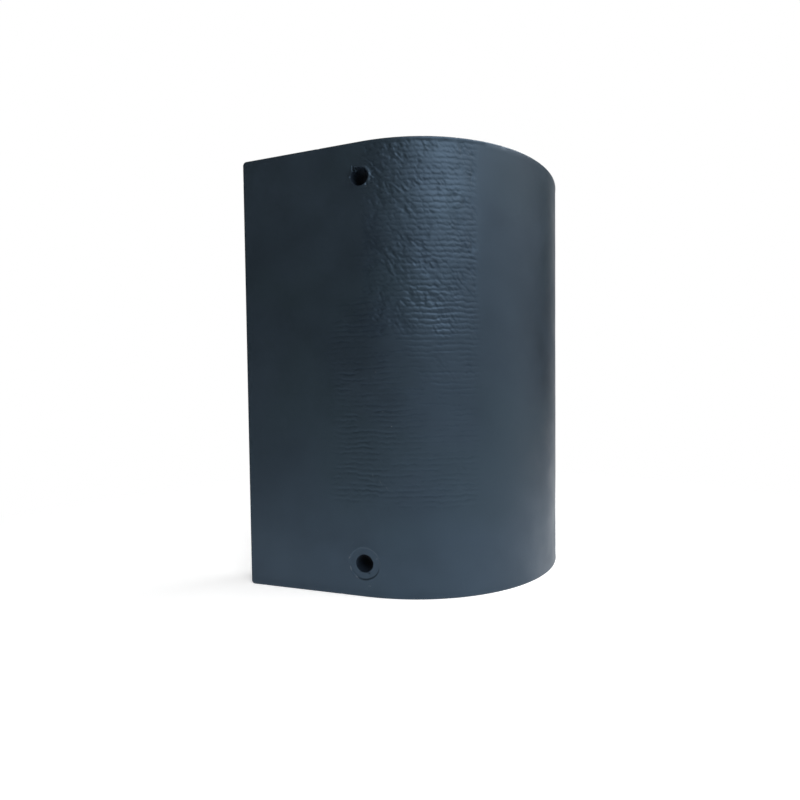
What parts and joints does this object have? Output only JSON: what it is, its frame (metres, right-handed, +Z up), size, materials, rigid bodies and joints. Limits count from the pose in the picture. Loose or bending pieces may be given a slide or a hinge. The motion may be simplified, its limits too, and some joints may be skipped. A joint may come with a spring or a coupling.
{
  "type": "wear plate",
  "caption": "Curved moulded rubber wear plate: two flat legs joined by a long round bend, with bolt holes beside the bend and a cloth-finished outer face.",
  "frame": {"origin": "on the floor, under the middle of the plate's box as it stands on its lower end", "axes": "+Z up the plate's height, -Y the way the bend faces, X across the two legs with the worn bolt holes on -X"},
  "size_m": [0.2764, 0.14, 0.28],
  "materials": {
    "rubber": "satin"
  },
  "bodies": {
    "root": {"wear_plate": "rubber"}
  },
  "joints": []
}
